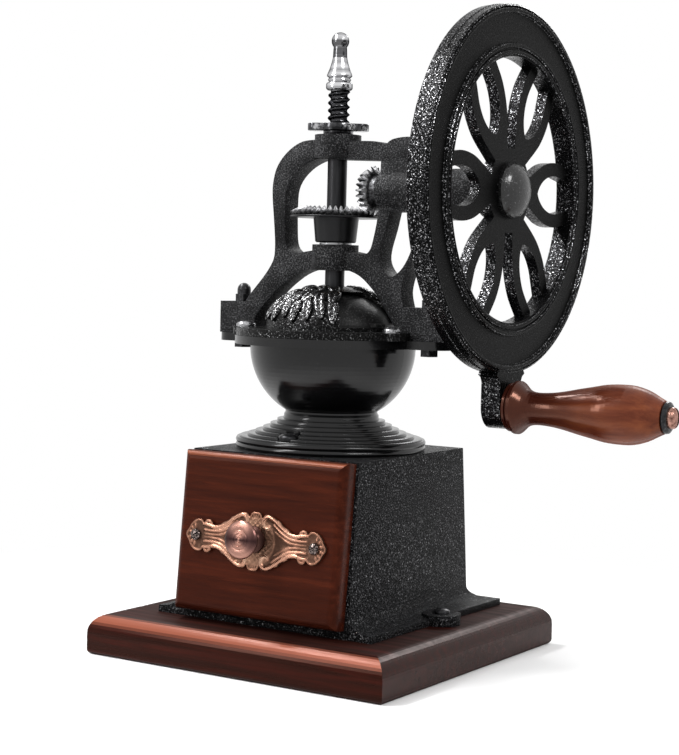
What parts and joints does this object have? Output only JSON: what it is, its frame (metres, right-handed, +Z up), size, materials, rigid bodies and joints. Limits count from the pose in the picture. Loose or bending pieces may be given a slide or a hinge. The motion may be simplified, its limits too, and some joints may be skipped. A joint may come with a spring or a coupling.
{
  "type": "coffee grinder",
  "caption": "Hand-cranked coffee grinder: wooden base with a drawer, cast bowl and domed hopper, bevel gears, spoked flywheel and turned grip.",
  "frame": {"origin": "centre of the underside of the base board", "axes": "+Z up along the upright shaft; -Y out of the drawer's front; +X along the wheel shaft towards the flywheel"},
  "size_m": [0.23, 0.1472, 0.2703],
  "materials": {
    "mahogany": "reddish-brown stain under satin lacquer",
    "drawer_panel": "reddish-brown stain under satin lacquer",
    "tray_wood": "plain planed wood",
    "grip_wood": "turned and lacquered",
    "box_paint": "fine satin black",
    "cast_black": "cast iron with thin black paint",
    "dome_bronze": "dark cast relief, edges rubbed bright",
    "hatch_grey": "smooth and matt",
    "wheel_paint": "gloss black with grey speckles on the rim",
    "dark_steel": "oiled dark steel",
    "gear_steel": "dark oiled steel, teeth worn bright",
    "bright_steel": "clean turned steel",
    "screw_black": "black screws with worn edges",
    "nickel_dark": "polished dark nickel",
    "copper_antique": "antique copper, dark in the hollows",
    "copper_bright": "bright copper",
    "bush_bronze": "turned bronze"
  },
  "bodies": {
    "frame": {"base_board": "mahogany", "base_screws": "screw_black", "body_box": "box_paint", "hopper_bowl": "cast_black", "foot_screws": "screw_black", "hopper_cover": "dome_bronze", "cover_screws": "screw_black", "bridge": "cast_black", "bridge_bolts": "screw_black", "bridge_acorn_nuts": "screw_black", "shaft_bush": "bush_bronze", "wheel_bush_inner": "bush_bronze", "wheel_bush_outer": "bush_bronze", "burr_ring": "bright_steel", "spring_washer": "bright_steel", "burr_spring": "bright_steel"},
    "drawer": {"drawer_front": "drawer_panel", "drawer_side_left": "tray_wood", "drawer_side_right": "tray_wood", "drawer_back": "tray_wood", "drawer_bottom": "tray_wood", "escutcheon": "copper_antique", "escutcheon_screws": "copper_antique", "drawer_knob": "copper_antique", "knob_screw": "bright_steel"},
    "hatch": {"hopper_hatch": "hatch_grey"},
    "wheel": {"flywheel": "wheel_paint", "hub_cap": "wheel_paint", "wheel_shaft": "dark_steel", "pinion": "gear_steel", "pinion_pin": "bright_steel", "handle_bolt": "copper_bright", "grip_ring": "screw_black"},
    "grip": {"handle_grip": "grip_wood"},
    "lift": {"thrust_ball": "bright_steel"},
    "shaft": {"main_shaft": "dark_steel", "crown_gear": "gear_steel", "gear_pin": "bright_steel", "burr_cone": "bright_steel", "burr_washer": "bright_steel", "burr_nut": "bright_steel"},
    "adjuster": {"adjusting_screw": "nickel_dark"},
    "nut": {"lock_nut": "nickel_dark"}
  },
  "joints": [
    {"name": "drawer_slide", "type": "slide", "parent": "frame", "child": "drawer", "axis": [0, -1, 0], "range_m": [0, 0.06]},
    {"name": "wheel_spin", "type": "hinge", "parent": "frame", "child": "wheel", "pos_m": [0.05, 0, 0.1967], "axis": [1, 0, 0], "continuous": true},
    {"name": "grip_spin", "type": "hinge", "parent": "wheel", "child": "grip", "pos_m": [0.12, 0, 0.11], "axis": [1, 0, 0], "continuous": true},
    {"name": "adjust_turn", "type": "hinge", "parent": "lift", "child": "adjuster", "pos_m": [0, 0, 0.24], "axis": [0, 0, 1], "range_deg": [-90, 0]},
    {"name": "shaft_lift", "type": "slide", "parent": "frame", "child": "lift", "axis": [0, 0, 1], "range_m": [-0.0008, 0], "stiffness_N_per_m": 1500, "springref_m": 0.002, "deforming": ["burr_spring"]},
    {"name": "shaft_spin", "type": "hinge", "parent": "lift", "child": "shaft", "pos_m": [0, 0, 0.15], "axis": [0, 0, 1], "continuous": true},
    {"name": "nut_turn", "type": "hinge", "parent": "frame", "child": "nut", "pos_m": [0, 0, 0.223], "axis": [0, 0, 1], "range_deg": [0, 30]},
    {"name": "hatch_turn", "type": "hinge", "parent": "frame", "child": "hatch", "pos_m": [0, 0, 0.145], "axis": [0, 0, 1], "range_deg": [0, 100]}
  ],
  "couplings": [
    {"joint": "shaft_spin", "follows": "wheel_spin", "ratio": 0.5},
    {"joint": "adjust_turn", "follows": "shaft_lift", "rad_per_m": 1963.5}
  ]
}
